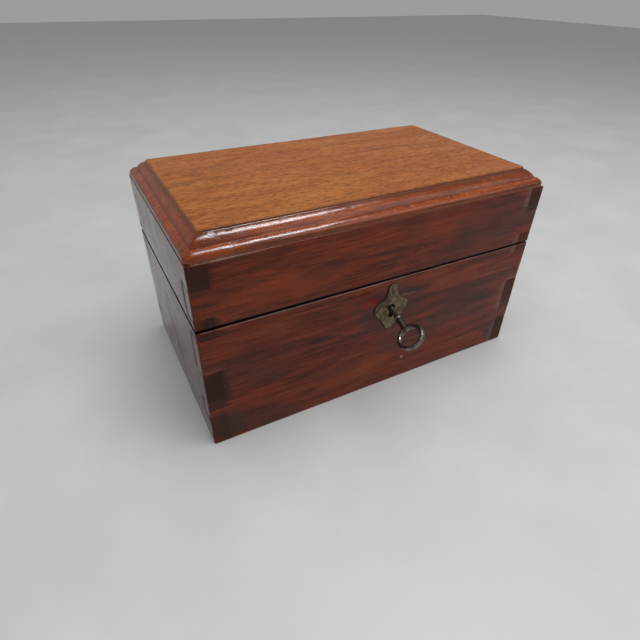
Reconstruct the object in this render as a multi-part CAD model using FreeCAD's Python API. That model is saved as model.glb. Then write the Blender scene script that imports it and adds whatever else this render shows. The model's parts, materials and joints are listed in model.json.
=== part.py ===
import FreeCAD, Part
import math
import os
from FreeCAD import Placement, Rotation, Vector

os.makedirs("parts", exist_ok=True)

# A two-compartment wooden tea caddy.  Millimetres, +Z up, +X to the right of a person who
# faces its lock, and the front face at -Y.  The origin is the middle of the underside.

# ---- driving dimensions -------------------------------------------------------------------

WIDTH = 205.0                # whole carcass along X
DEPTH = 121.0                # whole carcass along Y
CARCASS_HEIGHT = 108.3       # underside to the seam under the top board
TOP_THICKNESS = 9.7          # moulded top board
BOARD = 9.0                  # thickness of the four carcass boards

BODY_TOP = 73.7              # rim of the body
LID_BOTTOM_LEFT = 75.6       # sawn edge of the lid, at the left end
LID_BOTTOM_RIGHT = 74.6      # sawn edge of the lid, at the right end
TAILS = ((0.0, 20.0), (27.0, 49.0), (69.0, 81.0), (96.0, CARCASS_HEIGHT))
TAIL_TAPER = 1.4             # how much a tail narrows, each side, over the board's thickness

BOTTOM_THICKNESS = 6.0
REBATE = 4.0                 # how far the bottom board is let into the carcass boards
LINER = 2.5                  # thickness of the liners
LINER_TOP = 66.0             # the inner lids rest on this
DIVIDER = 5.0
FOIL = 0.5
INNER_LID = 4.0
LINING_PANEL = 2.0
LINING_PLAY = 0.3
OVERSHOOT = 1.0              # how far a cutter runs past the face that it opens

LOCK_X = 3.8                 # keyhole, escutcheon and lock share this centre line
KEYHOLE_Z = 56.0
KEYHOLE_RADIUS = 2.2
KEYHOLE_SLOT = 2.2           # width of the slot under the round hole
KEYHOLE_DROP = 6.6           # how far the slot reaches below the round hole's centre
KEYHOLE_PLAY = 0.1           # the holes in wood and case are this much larger than the escutcheon's
LOCK_HALF = 22.0             # half the width of the lock case
LOCK_BOTTOM = 48.9
LOCK_DEPTH = 6.8             # how far the lock reaches from the inner face into the board
SHEET = 0.8                  # brass sheet of the case
CAP = 1.5                    # thickness of the cap plate on the rim
CAP_HALF = 29.0
PLATE_SCREW = 25.5           # screws in the cap and strike plates, from the lock's centre
STRIKE_Z = 75.15
STRIKE = 1.2

KEY_LEFT_DEG = 11.2          # the loose key leans to the left of square
KEY_DOWN_DEG = 3.2           # and droops a little
KEY_TURNED_DEG = 48.0        # clockwise from where it goes in
KEY_SHAFT = 1.5              # radius
BOW_OUTSIDE = 7.8
BOW_WIRE = 1.4
BOW_CENTRE = 26.6            # along the key from the middle of the keyhole's wall
BIT_REACH = 5.6

HINGE_X = 60.0
HINGE_LENGTH = 30.0
HINGE_AXIS_Y = DEPTH / 2 + 1.5
HINGE_AXIS_Z = 74.5
BARREL = 2.2
HINGE_PIN = 0.9
PIN_PLAY = 0.05
LEAF = 1.0
LEAF_INNER_Y = 52.5
LEAF_TO_BARREL = 0.3
WEB_OVERLAP = 0.5            # a knuckle's web reaches this far into the leaf, and this near the axis
BARREL_ROOM = 0.4
KNUCKLES = 5
KNUCKLE_PLAY = 0.2

HALF_W = WIDTH / 2
HALF_D = DEPTH / 2
IN_W = HALF_W - BOARD
IN_D = HALF_D - BOARD
LOCK_BACK = -IN_D
LOCK_FRONT = LOCK_BACK - LOCK_DEPTH
PLATE_FRONT = LOCK_FRONT - 0.7    # front edge of the cap and strike plates
STRIKE_BACK = LOCK_BACK - 1.0
FRONT = -HALF_D


# ---- helpers ------------------------------------------------------------------------------

def box(x0, x1, y0, y1, z0, z1):
    return Part.makeBox(x1 - x0, y1 - y0, z1 - z0, Vector(x0, y0, z0))


def rod(radius, start, end):
    return Part.makeCylinder(radius, (end - start).Length, start, end - start)


def cone(radius_start, radius_end, start, end):
    return Part.makeCone(radius_start, radius_end, (end - start).Length, start, end - start)


def prism(points, along):
    return Part.Face(Part.makePolygon(list(points) + [points[0]])).extrude(along)


def fuse(shapes):
    whole = shapes[0]
    for shape in shapes[1:]:
        whole = whole.fuse(shape)
    return whole.removeSplitter()


def save(name, shape):
    if not shape.isValid():
        raise ValueError(name + " is not a valid shape")
    shape.exportStep("parts/" + name + ".step")
    print(name, len(shape.Solids), round(shape.Volume, 1))


def save_group(name, shapes):
    save(name, Part.Compound(shapes))


# ---- fasteners ----------------------------------------------------------------------------

SCREW_HEAD = 2.0
SCREW_HEAD_DEPTH = 1.2
SCREW_SHANK = 1.0
SCREW_SLOT = 0.5
SCREW_POINT = 0.2


def countersunk_screw(head_top, inward, length):
    """A slotted countersunk screw: its head's top face is at head_top."""
    neck = head_top + inward * SCREW_HEAD_DEPTH
    head = cone(SCREW_HEAD, SCREW_SHANK, head_top, neck)
    shank = rod(SCREW_SHANK, neck, head_top + inward * (length - SCREW_SHANK))
    point = cone(SCREW_SHANK, SCREW_POINT, head_top + inward * (length - SCREW_SHANK),
                 head_top + inward * length)
    screw = fuse([head, shank, point])
    slot = box(head_top.x - SCREW_HEAD, head_top.x + SCREW_HEAD,
               head_top.y - SCREW_SLOT / 2, head_top.y + SCREW_SLOT / 2,
               head_top.z - SCREW_SLOT, head_top.z + SCREW_SLOT)
    return screw, screw.cut(slot)


# ---- carcass: made whole, then sawn into body and lid --------------------------------------

def tail(side, end, low, high):
    """One dovetail of a side board.  side is -1 or 1 along X, end is -1 or 1 along Y."""
    low_taper = TAIL_TAPER if low > 0 else 0.0
    high_taper = TAIL_TAPER if high < CARCASS_HEIGHT else 0.0
    x = -HALF_W if side < 0 else IN_W
    points = [Vector(x, end * HALF_D, low),
              Vector(x, end * HALF_D, high),
              Vector(x, end * IN_D, high - high_taper),
              Vector(x, end * IN_D, low + low_taper)]
    return prism(points, Vector(BOARD, 0, 0))


def tails_at(side, end):
    return [tail(side, end, low, high) for low, high in TAILS]


def side_carcass(side):
    x0 = -HALF_W if side < 0 else IN_W
    middle = box(x0, x0 + BOARD, -IN_D, IN_D, 0, CARCASS_HEIGHT)
    return fuse([middle] + tails_at(side, -1) + tails_at(side, 1))


def end_carcass(end):
    """The front (end -1) or back (end 1) board, with sockets for the side boards' tails."""
    y0 = -HALF_D if end < 0 else IN_D
    board = box(-HALF_W, HALF_W, y0, y0 + BOARD, 0, CARCASS_HEIGHT)
    for side in (-1, 1):
        for one_tail in tails_at(side, end):
            board = board.cut(one_tail)
    return board


def below_parting():
    return box(-WIDTH, WIDTH, -DEPTH, DEPTH, -OVERSHOOT, BODY_TOP)


def lid_bottom_at(x):
    middle = (LID_BOTTOM_LEFT + LID_BOTTOM_RIGHT) / 2
    return middle + (LID_BOTTOM_RIGHT - LID_BOTTOM_LEFT) * x / WIDTH


def above_parting():
    points = [Vector(-WIDTH, -DEPTH, lid_bottom_at(-WIDTH)),
              Vector(WIDTH, -DEPTH, lid_bottom_at(WIDTH)),
              Vector(WIDTH, -DEPTH, CARCASS_HEIGHT + OVERSHOOT),
              Vector(-WIDTH, -DEPTH, CARCASS_HEIGHT + OVERSHOOT)]
    return prism(points, Vector(0, 2 * DEPTH, 0))


def bottom_board():
    x = IN_W + REBATE
    y = IN_D + REBATE
    return box(-x, x, -y, y, 0, BOTTOM_THICKNESS)


# ---- hinges -------------------------------------------------------------------------------

def barrel_piece(x0, x1, radius):
    start = Vector(x0, HINGE_AXIS_Y, HINGE_AXIS_Z)
    return rod(radius, start, Vector(x1, HINGE_AXIS_Y, HINGE_AXIS_Z))


def hinge_leaf(centre, first_knuckle, z0, hole):
    """A leaf let into a board's edge, with every second knuckle of the barrel."""
    x0 = centre - HINGE_LENGTH / 2
    pitch = HINGE_LENGTH / KNUCKLES
    plate_end = HINGE_AXIS_Y - BARREL - LEAF_TO_BARREL
    pieces = [box(x0, x0 + HINGE_LENGTH, LEAF_INNER_Y, plate_end, z0, z0 + LEAF)]
    for knuckle in range(first_knuckle, KNUCKLES, 2):
        left = x0 + knuckle * pitch + KNUCKLE_PLAY / 2
        right = left + pitch - KNUCKLE_PLAY
        pieces.append(barrel_piece(left, right, BARREL))
        pieces.append(box(left, right, plate_end - WEB_OVERLAP, HINGE_AXIS_Y - WEB_OVERLAP, z0, z0 + LEAF))
    leaf = fuse(pieces)
    return leaf.cut(barrel_piece(x0 - OVERSHOOT, x0 + HINGE_LENGTH + OVERSHOOT, hole))


def hinge_relief(centre):
    """What the boards lose so that the barrel can turn."""
    half = HINGE_LENGTH / 2 + BARREL_ROOM
    return barrel_piece(centre - half, centre + half, BARREL + BARREL_ROOM)


def leaf_recess(centre, z0, z1):
    half = HINGE_LENGTH / 2
    return box(centre - half, centre + half, LEAF_INNER_Y, HALF_D + OVERSHOOT, z0, z1)


HINGE_SCREW_X = 9.0
HINGE_SCREW_Y = 56.0
HINGE_SCREW_LENGTH = 8.0
BODY_LEAF_Z = BODY_TOP - LEAF
LID_LEAF_Z = 75.15           # the lid's leaves lie about level with its sawn edge


def hinge_screws(face_z, direction):
    pairs = []
    for centre in (-HINGE_X, HINGE_X):
        for shift in (-HINGE_SCREW_X, HINGE_SCREW_X):
            place = Vector(centre + shift, HINGE_SCREW_Y, face_z)
            pairs.append(countersunk_screw(place, Vector(0, 0, direction), HINGE_SCREW_LENGTH))
    return pairs


# ---- lock ---------------------------------------------------------------------------------

def keyhole(y0, y1, play=0.0):
    """The round hole and its slot, as a cutter from y0 to y1."""
    centre = Vector(LOCK_X, y0, KEYHOLE_Z)
    hole = rod(KEYHOLE_RADIUS + play, centre, Vector(LOCK_X, y1, KEYHOLE_Z))
    half = KEYHOLE_SLOT / 2 + play
    slot = box(LOCK_X - half, LOCK_X + half, y0, y1, KEYHOLE_Z - KEYHOLE_DROP - play, KEYHOLE_Z)
    return hole.fuse(slot)


def lock_pocket():
    """The mortise in the front board for the case, the back plate and the cap plate."""
    case = box(LOCK_X - LOCK_HALF, LOCK_X + LOCK_HALF, LOCK_FRONT, LOCK_BACK, LOCK_BOTTOM, BODY_TOP)
    return case.fuse(cap_blank())


def cap_blank():
    return box(LOCK_X - CAP_HALF, LOCK_X + CAP_HALF, PLATE_FRONT, LOCK_BACK, BODY_TOP - CAP, BODY_TOP)


def lock_case():
    top = BODY_TOP - CAP
    outside = box(LOCK_X - LOCK_HALF, LOCK_X + LOCK_HALF, LOCK_FRONT, LOCK_BACK - SHEET,
                  LOCK_BOTTOM, top)
    inside = box(LOCK_X - LOCK_HALF + SHEET, LOCK_X + LOCK_HALF - SHEET, LOCK_FRONT + SHEET,
                 LOCK_BACK, LOCK_BOTTOM + SHEET, top + OVERSHOOT)
    through = keyhole(LOCK_FRONT - OVERSHOOT, LOCK_FRONT + SHEET + OVERSHOOT, KEYHOLE_PLAY)
    return outside.cut(inside).cut(through)


def lock_back_plate():
    return box(LOCK_X - LOCK_HALF, LOCK_X + LOCK_HALF, LOCK_BACK - SHEET, LOCK_BACK,
               LOCK_BOTTOM, BODY_TOP - CAP)


STAPLE_X = (LOCK_X - 8.0, LOCK_X + 11.0)
STAPLE = 1.8                 # thickness along X
STAPLE_Y = (-57.0, -52.9)
STAPLE_BOTTOM = 67.2
EYE_Y = (-56.3, -53.6)
EYE_Z = (68.2, 71.6)
CAP_SLOT_PLAY = 0.7
CAP_SLOT_BACK = STAPLE_Y[1] + 0.6


def cap_plate():
    plate = cap_blank()
    for x in STAPLE_X:
        slot = box(x - CAP_SLOT_PLAY, x + STAPLE + CAP_SLOT_PLAY, STAPLE_Y[0] - CAP_SLOT_PLAY,
                   CAP_SLOT_BACK, BODY_TOP - CAP - OVERSHOOT, BODY_TOP + OVERSHOOT)
        plate = plate.cut(slot)
    return plate


def strike_plate():
    blank = box(LOCK_X - CAP_HALF, LOCK_X + CAP_HALF, PLATE_FRONT, STRIKE_BACK,
                STRIKE_Z, STRIKE_Z + STRIKE)
    staples = []
    for x in STAPLE_X:
        post = box(x, x + STAPLE, STAPLE_Y[0], STAPLE_Y[1], STAPLE_BOTTOM, STRIKE_Z + STRIKE / 2)
        eye = box(x - OVERSHOOT, x + STAPLE + OVERSHOOT, EYE_Y[0], EYE_Y[1], EYE_Z[0], EYE_Z[1])
        staples.append(post.cut(eye))
    return fuse([blank] + staples)


def strike_recess():
    return box(LOCK_X - CAP_HALF, LOCK_X + CAP_HALF, PLATE_FRONT, STRIKE_BACK,
               STRIKE_Z - 2 * OVERSHOOT, STRIKE_Z + STRIKE)


def plate_screws(face_z, direction, length):
    y = (PLATE_FRONT + STRIKE_BACK) / 2
    pairs = []
    for shift in (-PLATE_SCREW, PLATE_SCREW):
        place = Vector(LOCK_X + shift, y, face_z)
        pairs.append(countersunk_screw(place, Vector(0, 0, direction), length))
    return pairs


BOLT_Y = (-55.9, -54.0)
BOLT_BAR_Z = (63.2, 66.2)
FINGER_Z = (68.7, 71.1)
FINGER = 6.0
FINGER_POST = 2.0
FINGER_GAP = 0.8             # from a finger's end to its staple when the lock is open
TALON_HALF = 4.0
TALON_DEPTH = 0.8


def lock_bolt():
    y0, y1 = BOLT_Y
    posts = []
    for x in STAPLE_X:
        tip = x - FINGER_GAP
        root = tip - FINGER
        posts.append(box(root, tip, y0, y1, FINGER_Z[0], FINGER_Z[1]))
        posts.append(box(root - FINGER_POST, root, y0, y1, BOLT_BAR_Z[0], FINGER_Z[1]))
    first = STAPLE_X[0] - FINGER_GAP - FINGER - FINGER_POST
    last = STAPLE_X[1] - FINGER_GAP - FINGER
    bar = box(first, last + FINGER_POST, y0, y1, BOLT_BAR_Z[0], BOLT_BAR_Z[1])
    talon = box(LOCK_X - TALON_HALF, LOCK_X + TALON_HALF, y0, y1, BOLT_BAR_Z[0],
                BOLT_BAR_Z[0] + TALON_DEPTH)
    return fuse(posts + [bar]).cut(talon)


SPRING_HALF = 7.0
SPRING_BOW = 1.25
SPRING_SHEET = 0.35
SPRING_X = LOCK_X - 5.0
SPRING_Z = (64.2, 65.8)
SPRING_FEATHER = 1.0         # the inner curve is this much shorter at each end


def bolt_spring():
    """A bowed leaf on the back of the bolt's bar."""
    y = BOLT_Y[1]
    z0, z1 = SPRING_Z
    short = SPRING_HALF - SPRING_FEATHER
    inner = [Vector(SPRING_X - short, y, z0), Vector(SPRING_X, y + SPRING_BOW - SPRING_SHEET, z0),
             Vector(SPRING_X + short, y, z0)]
    outer = [Vector(SPRING_X + SPRING_HALF, y, z0), Vector(SPRING_X, y + SPRING_BOW, z0),
             Vector(SPRING_X - SPRING_HALF, y, z0)]
    edges = [Part.Arc(*inner).toShape(), Part.makeLine(inner[2], outer[0]),
             Part.Arc(*outer).toShape(), Part.makeLine(outer[2], inner[0])]
    return Part.Face(Part.Wire(edges)).extrude(Vector(0, 0, z1 - z0))


# ---- escutcheon ---------------------------------------------------------------------------

ESCUTCHEON = 0.8
# Right half of the outline: outwards from the centre line, and up from the keyhole's centre.
ESCUTCHEON_HALF = ((0.0, 15.2), (1.9, 14.5), (2.8, 12.8), (3.0, 10.4), (3.9, 7.8), (6.0, 5.3),
                   (8.2, 4.4), (10.0, 3.0), (10.7, 0.4), (9.4, -2.8), (7.6, -5.0), (5.6, -7.4),
                   (3.8, -10.7), (2.0, -13.3), (0.0, -14.4))
ESCUTCHEON_PINS = (11.9, -12.1)   # heights above the keyhole's centre
PIN_HEAD = 0.75
PIN_SHANK = 0.45
PIN_INTO_WOOD = 1.6


def escutcheon():
    right = [Vector(LOCK_X + u, FRONT, KEYHOLE_Z + v) for u, v in ESCUTCHEON_HALF]
    left = [Vector(LOCK_X - u, FRONT, KEYHOLE_Z + v) for u, v in reversed(ESCUTCHEON_HALF)]
    plate = prism(right + left[1:-1], Vector(0, -ESCUTCHEON, 0))
    plate = plate.cut(keyhole(FRONT - ESCUTCHEON - OVERSHOOT, FRONT + OVERSHOOT))
    for pin in escutcheon_pins():
        plate = plate.cut(pin)
    return plate


def escutcheon_pins():
    pins = []
    face = FRONT - ESCUTCHEON
    for height in ESCUTCHEON_PINS:
        centre = Vector(LOCK_X, face, KEYHOLE_Z + height)
        shank = rod(PIN_SHANK, centre, centre + Vector(0, ESCUTCHEON + PIN_INTO_WOOD, 0))
        reach = PIN_HEAD + OVERSHOOT
        outer_half = box(centre.x - reach, centre.x + reach, face - reach, face,
                         centre.z - reach, centre.z + reach)
        head = Part.makeSphere(PIN_HEAD, centre).common(outer_half)
        pins.append(fuse([head, shank]))
    return pins


# ---- key ----------------------------------------------------------------------------------

KEY_PIVOT_DEPTH = 0.7        # behind the front face
KEY_PIVOT = Vector(LOCK_X, FRONT + KEY_PIVOT_DEPTH, KEYHOLE_Z)
KEY_TIP = -6.9               # along the key from the pivot, inwards is negative
BIT_FROM = -6.1
BIT_TO = -4.1
BIT_THICK = 1.6
COLLAR_AT = 10.4
COLLAR_LENGTH = 1.3
COLLAR = 2.2
NECK = 1.8
WARD = (BIT_REACH - 2.2, BIT_REACH - 1.4)   # where the ward notch crosses the bit
WARD_DEPTH = 1.0


def key_outward():
    left = math.radians(KEY_LEFT_DEG)
    down = math.radians(KEY_DOWN_DEG)
    return Vector(-math.sin(left) * math.cos(down), -math.cos(left) * math.cos(down), -math.sin(down))


def key_bit_direction():
    outward = key_outward()
    down = Vector(0, 0, -1)
    square = down - outward * down.dot(outward)
    square.normalize()
    return Rotation(outward * -1, KEY_TURNED_DEG).multVec(square)


def key():
    """Built along +Z with its bit towards +X, then laid in the lock."""
    bow_start = BOW_CENTRE - BOW_OUTSIDE + BOW_WIRE
    up = Vector(0, 0, 1)
    shaft = rod(KEY_SHAFT, up * KEY_TIP, up * bow_start)
    collar = rod(COLLAR, up * COLLAR_AT, up * (COLLAR_AT + COLLAR_LENGTH))
    neck = cone(NECK, KEY_SHAFT, up * (COLLAR_AT + COLLAR_LENGTH), up * bow_start)
    bit = box(0, BIT_REACH, -BIT_THICK / 2, BIT_THICK / 2, BIT_FROM, BIT_TO)
    ward = box(WARD[0], WARD[1], -BIT_THICK, BIT_THICK, BIT_FROM - OVERSHOOT, BIT_FROM + WARD_DEPTH)
    bow = Part.makeTorus(BOW_OUTSIDE - BOW_WIRE, BOW_WIRE, up * BOW_CENTRE, Vector(0, 1, 0))
    whole = fuse([shaft, collar, neck, bit.cut(ward), bow])
    outward = key_outward()
    bit_way = key_bit_direction()
    across = outward.cross(bit_way)
    matrix = FreeCAD.Matrix(bit_way.x, across.x, outward.x, KEY_PIVOT.x,
                            bit_way.y, across.y, outward.y, KEY_PIVOT.y,
                            bit_way.z, across.z, outward.z, KEY_PIVOT.z,
                            0, 0, 0, 1)
    whole.Placement = Placement(matrix)
    return whole


# ---- lid top ------------------------------------------------------------------------------

# Section of the moulded edge: inwards from the carcass face, and up from the seam.
EDGE_SET_BACK = 0.3
NOSE = ((3.5, 4.45), (1.05, 3.1))         # end of the rounded nose, and a point half-way round it
NOSE_START = 1.2
QUIRK = ((3.8, 4.4), (3.95, 4.9))
THUMB_MIDDLE = (6.0, 7.15)
THUMB_END = (8.9, 8.6)
FILLET_TOP = (9.05, 9.35)
PANEL_EDGE = (9.5, TOP_THICKNESS)
TOP_CORNER = 3.0
UPRIGHT = 0.99               # an edge counts as upright above this cosine


def moulding_wire(half, place):
    """Closed outline of the top board's section; place turns (across, up) into a point."""
    def at(inward, up, side):
        return place(side * (half - inward), CARCASS_HEIGHT + up)

    def edge_run(side):
        start = at(EDGE_SET_BACK, 0, side)
        rise = at(EDGE_SET_BACK, NOSE_START, side)
        return [Part.makeLine(start, rise),
                Part.Arc(rise, at(*NOSE[1], side), at(*NOSE[0], side)).toShape(),
                Part.makeLine(at(*NOSE[0], side), at(*QUIRK[0], side)),
                Part.makeLine(at(*QUIRK[0], side), at(*QUIRK[1], side)),
                Part.Arc(at(*QUIRK[1], side), at(*THUMB_MIDDLE, side), at(*THUMB_END, side)).toShape(),
                Part.makeLine(at(*THUMB_END, side), at(*FILLET_TOP, side)),
                Part.makeLine(at(*FILLET_TOP, side), at(*PANEL_EDGE, side))]

    top = Part.makeLine(at(*PANEL_EDGE, -1), at(*PANEL_EDGE, 1))
    under = Part.makeLine(at(EDGE_SET_BACK, 0, 1), at(EDGE_SET_BACK, 0, -1))
    return Part.Wire(Part.__sortEdges__(edge_run(-1) + [top] + edge_run(1) + [under]))


def lid_top_board():
    along_x = moulding_wire(HALF_D, lambda across, up: Vector(-WIDTH, across, up))
    along_y = moulding_wire(HALF_W, lambda across, up: Vector(across, -DEPTH, up))
    long_run = Part.Face(along_x).extrude(Vector(2 * WIDTH, 0, 0))
    short_run = Part.Face(along_y).extrude(Vector(0, 2 * DEPTH, 0))
    blank = box(-HALF_W, HALF_W, -HALF_D, HALF_D, CARCASS_HEIGHT - OVERSHOOT,
                CARCASS_HEIGHT + TOP_THICKNESS + OVERSHOOT)
    uprights = [edge for edge in blank.Edges if abs(edge.tangentAt(edge.FirstParameter).z) > UPRIGHT]
    return long_run.common(short_run).common(blank.makeFillet(TOP_CORNER, uprights))


# ---- inside -------------------------------------------------------------------------------

INNER_LID_PLAY = 0.6
INNER_LID_LIFT = 0.1
INNER_LID_HALF_GAP = 0.4     # half of the gap between the two inner lids
INNER_LID_ROUND = 1.2
FOIL_TOP = LINER_TOP - 1.0
LEVEL = 0.01                 # two heights closer than this are the same height
KNOB_PROFILE = ((4.6, 0.0), (4.6, 0.9), (2.6, 1.8), (2.3, 3.4))   # foot and neck of the knob
KNOB_SWELL = (3.9, 0, 4.2)   # a point on the curve from the neck to the widest place
KNOB_BALL = 4.7
KNOB_SHOULDER = 5.6
KNOB_ROUND = (3.4, 0, 8.1)   # a point on the curve from the widest place to the crown
KNOB_TIP = 0.6               # radius of the small flat left by the turner
KNOB_HEIGHT = 9.0
KNOB_TENON = 2.0
KNOB_TENON_LENGTH = 3.0


def compartment(side, shrink):
    """Plan limits of a compartment between divider and liner, drawn in by shrink."""
    near = DIVIDER / 2 + shrink
    far = IN_W - LINER - shrink
    return (near, far) if side > 0 else (-far, -near)


def foil_lining(side):
    x0, x1 = compartment(side, 0)
    y = IN_D - LINER
    outside = box(x0, x1, -y, y, BOTTOM_THICKNESS, FOIL_TOP)
    x2, x3 = compartment(side, FOIL)
    inside = box(x2, x3, -y + FOIL, y - FOIL, BOTTOM_THICKNESS + FOIL, FOIL_TOP + OVERSHOOT)
    return outside.cut(inside)


def inner_lid_bounds(side):
    near = INNER_LID_HALF_GAP
    far = IN_W - INNER_LID_PLAY
    return (near, far) if side > 0 else (-far, -near)


def inner_lid_centre(side):
    x0, x1 = inner_lid_bounds(side)
    return Vector((x0 + x1) / 2, 0, LINER_TOP + INNER_LID_LIFT + INNER_LID)


def inner_lid(side):
    x0, x1 = inner_lid_bounds(side)
    y = IN_D - INNER_LID_PLAY
    z0 = LINER_TOP + INNER_LID_LIFT
    plate = box(x0, x1, -y, y, z0, z0 + INNER_LID)
    top_edges = [edge for edge in plate.Edges if edge.CenterOfMass.z > z0 + INNER_LID - LEVEL]
    plate = plate.makeFillet(INNER_LID_ROUND, top_edges)
    centre = inner_lid_centre(side)
    socket_end = centre - Vector(0, 0, KNOB_TENON_LENGTH)
    return plate.cut(rod(KNOB_TENON, socket_end, centre + Vector(0, 0, OVERSHOOT)))


def inner_knob(side):
    """One turned outline: tenon, foot, neck and mushroom crown."""
    shoulder = Vector(KNOB_BALL, 0, KNOB_SHOULDER)
    crown = Vector(KNOB_TIP, 0, KNOB_HEIGHT)
    axis_top = Vector(0, 0, KNOB_HEIGHT)
    axis_bottom = Vector(0, 0, -KNOB_TENON_LENGTH)
    straight = [axis_top, axis_bottom, Vector(KNOB_TENON, 0, -KNOB_TENON_LENGTH), Vector(KNOB_TENON, 0, 0)]
    straight += [Vector(radius, 0, height) for radius, height in KNOB_PROFILE]
    edges = [Part.makeLine(start, end) for start, end in zip(straight, straight[1:])]
    edges.append(Part.Arc(straight[-1], Vector(*KNOB_SWELL), shoulder).toShape())
    edges.append(Part.Arc(shoulder, Vector(*KNOB_ROUND), crown).toShape())
    edges.append(Part.makeLine(crown, axis_top))
    knob = Part.Face(Part.Wire(edges)).revolve(Vector(0, 0, 0), Vector(0, 0, 1), 360)
    knob.translate(inner_lid_centre(side))
    return knob


BRAD_HEAD = 0.9
BRAD_DEPTH = 5.0
BRADS_ALONG = 4
BRAD_SUNK = 0.2
BRAD_FROM_END = 10.0         # of the caddy's inside length


def bottom_brads():
    """Small brads that hold the bottom board down on the rebate of the long boards."""
    brads = []
    y = IN_D + REBATE / 2
    for number in range(BRADS_ALONG):
        x = (number / (BRADS_ALONG - 1) - 0.5) * 2 * (IN_W - BRAD_FROM_END)
        for side in (-1, 1):
            start = Vector(x, side * y, BRAD_SUNK)
            brads.append(rod(BRAD_HEAD, start, start + Vector(0, 0, BRAD_DEPTH)))
    return brads


# ---- assembly -----------------------------------------------------------------------------

CAP_SCREW_LENGTH = 10.0
STRIKE_SCREW_LENGTH = 9.0

cap_screws = plate_screws(BODY_TOP, -1, CAP_SCREW_LENGTH)
strike_screws = plate_screws(STRIKE_Z, 1, STRIKE_SCREW_LENGTH)
body_hinge_screws = hinge_screws(BODY_TOP, -1)
lid_hinge_screws = hinge_screws(LID_LEAF_Z, 1)


def cut_all(shape, tools):
    for tool in tools:
        shape = shape.cut(tool)
    return shape


def blanks(pairs):
    return [blank for blank, slotted in pairs]


def slotted(pairs):
    return [screw for blank, screw in pairs]


bottom = bottom_board()
body = below_parting()
lid = above_parting()
lid_leaf_top = LID_LEAF_Z + LEAF

# Body boards
front = end_carcass(-1).common(body).cut(bottom).cut(lock_pocket())
front = front.cut(keyhole(FRONT - OVERSHOOT, LOCK_FRONT + OVERSHOOT, KEYHOLE_PLAY))
front = cut_all(front, blanks(cap_screws) + escutcheon_pins())
save("body_front_board", front)

back = end_carcass(1).common(body).cut(bottom)
for hinge_x in (-HINGE_X, HINGE_X):
    back = back.cut(leaf_recess(hinge_x, BODY_LEAF_Z, BODY_TOP + OVERSHOOT))
    back = back.cut(hinge_relief(hinge_x))
save("body_back_board", cut_all(back, blanks(body_hinge_screws)))

for side, name in ((-1, "left"), (1, "right")):
    carcass = side_carcass(side)
    save("body_" + name + "_board", carcass.common(body).cut(bottom))
    save("lid_" + name + "_board", carcass.common(lid))

save("bottom_board", cut_all(bottom, bottom_brads()))
save_group("bottom_brads", bottom_brads())

# Inside of the body
liner_y = IN_D - LINER
save("front_liner", box(-IN_W, IN_W, -IN_D, -liner_y, BOTTOM_THICKNESS, LINER_TOP))
save("back_liner", box(-IN_W, IN_W, liner_y, IN_D, BOTTOM_THICKNESS, LINER_TOP))
save("left_liner", box(-IN_W, -IN_W + LINER, -liner_y, liner_y, BOTTOM_THICKNESS, LINER_TOP))
save("right_liner", box(IN_W - LINER, IN_W, -liner_y, liner_y, BOTTOM_THICKNESS, LINER_TOP))
save("centre_divider", box(-DIVIDER / 2, DIVIDER / 2, -liner_y, liner_y, BOTTOM_THICKNESS, LINER_TOP))
for side, name in ((-1, "left"), (1, "right")):
    save(name + "_foil_lining", foil_lining(side))
    save(name + "_inner_lid", inner_lid(side))
    save(name + "_inner_knob", inner_knob(side))

# Lock and key
save("lock_case", lock_case())
save("lock_back_plate", lock_back_plate())
save("lock_cap_plate", cut_all(cap_plate(), blanks(cap_screws)))
save_group("lock_screws", slotted(cap_screws))
save("lock_bolt", lock_bolt())
save("bolt_spring", bolt_spring())
save("escutcheon", escutcheon())
save_group("escutcheon_pins", escutcheon_pins())
save("key", key())

# Hinges
for side, name in ((-1, "left"), (1, "right")):
    centre = side * HINGE_X
    half = HINGE_LENGTH / 2
    body_leaf = hinge_leaf(centre, 0, BODY_LEAF_Z, HINGE_PIN)
    lid_leaf = hinge_leaf(centre, 1, LID_LEAF_Z, HINGE_PIN + PIN_PLAY)
    save(name + "_hinge_body_leaf", cut_all(body_leaf, blanks(body_hinge_screws)))
    save(name + "_hinge_lid_leaf", cut_all(lid_leaf, blanks(lid_hinge_screws)))
    save(name + "_hinge_pin", barrel_piece(centre - half, centre + half, HINGE_PIN))
save_group("hinge_body_screws", slotted(body_hinge_screws))
save_group("hinge_lid_screws", slotted(lid_hinge_screws))

# Lid boards
lid_front = end_carcass(-1).common(lid).cut(strike_recess())
save("lid_front_board", cut_all(lid_front, blanks(strike_screws)))
lid_back = end_carcass(1).common(lid)
for hinge_x in (-HINGE_X, HINGE_X):
    lid_back = lid_back.cut(leaf_recess(hinge_x, LID_LEAF_Z - 2 * OVERSHOOT, lid_leaf_top))
    lid_back = lid_back.cut(hinge_relief(hinge_x))
save("lid_back_board", cut_all(lid_back, blanks(lid_hinge_screws)))
save("lid_top_board", lid_top_board())
panel_x = IN_W - LINING_PLAY
panel_y = IN_D - LINING_PLAY
save("lid_lining_panel", box(-panel_x, panel_x, -panel_y, panel_y,
                             CARCASS_HEIGHT - LINING_PANEL, CARCASS_HEIGHT))
save("strike_plate", cut_all(strike_plate(), blanks(strike_screws)))
save_group("strike_plate_screws", slotted(strike_screws))
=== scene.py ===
import json
import math

import bmesh
import bpy
from mathutils import Matrix, Vector, noise


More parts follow.
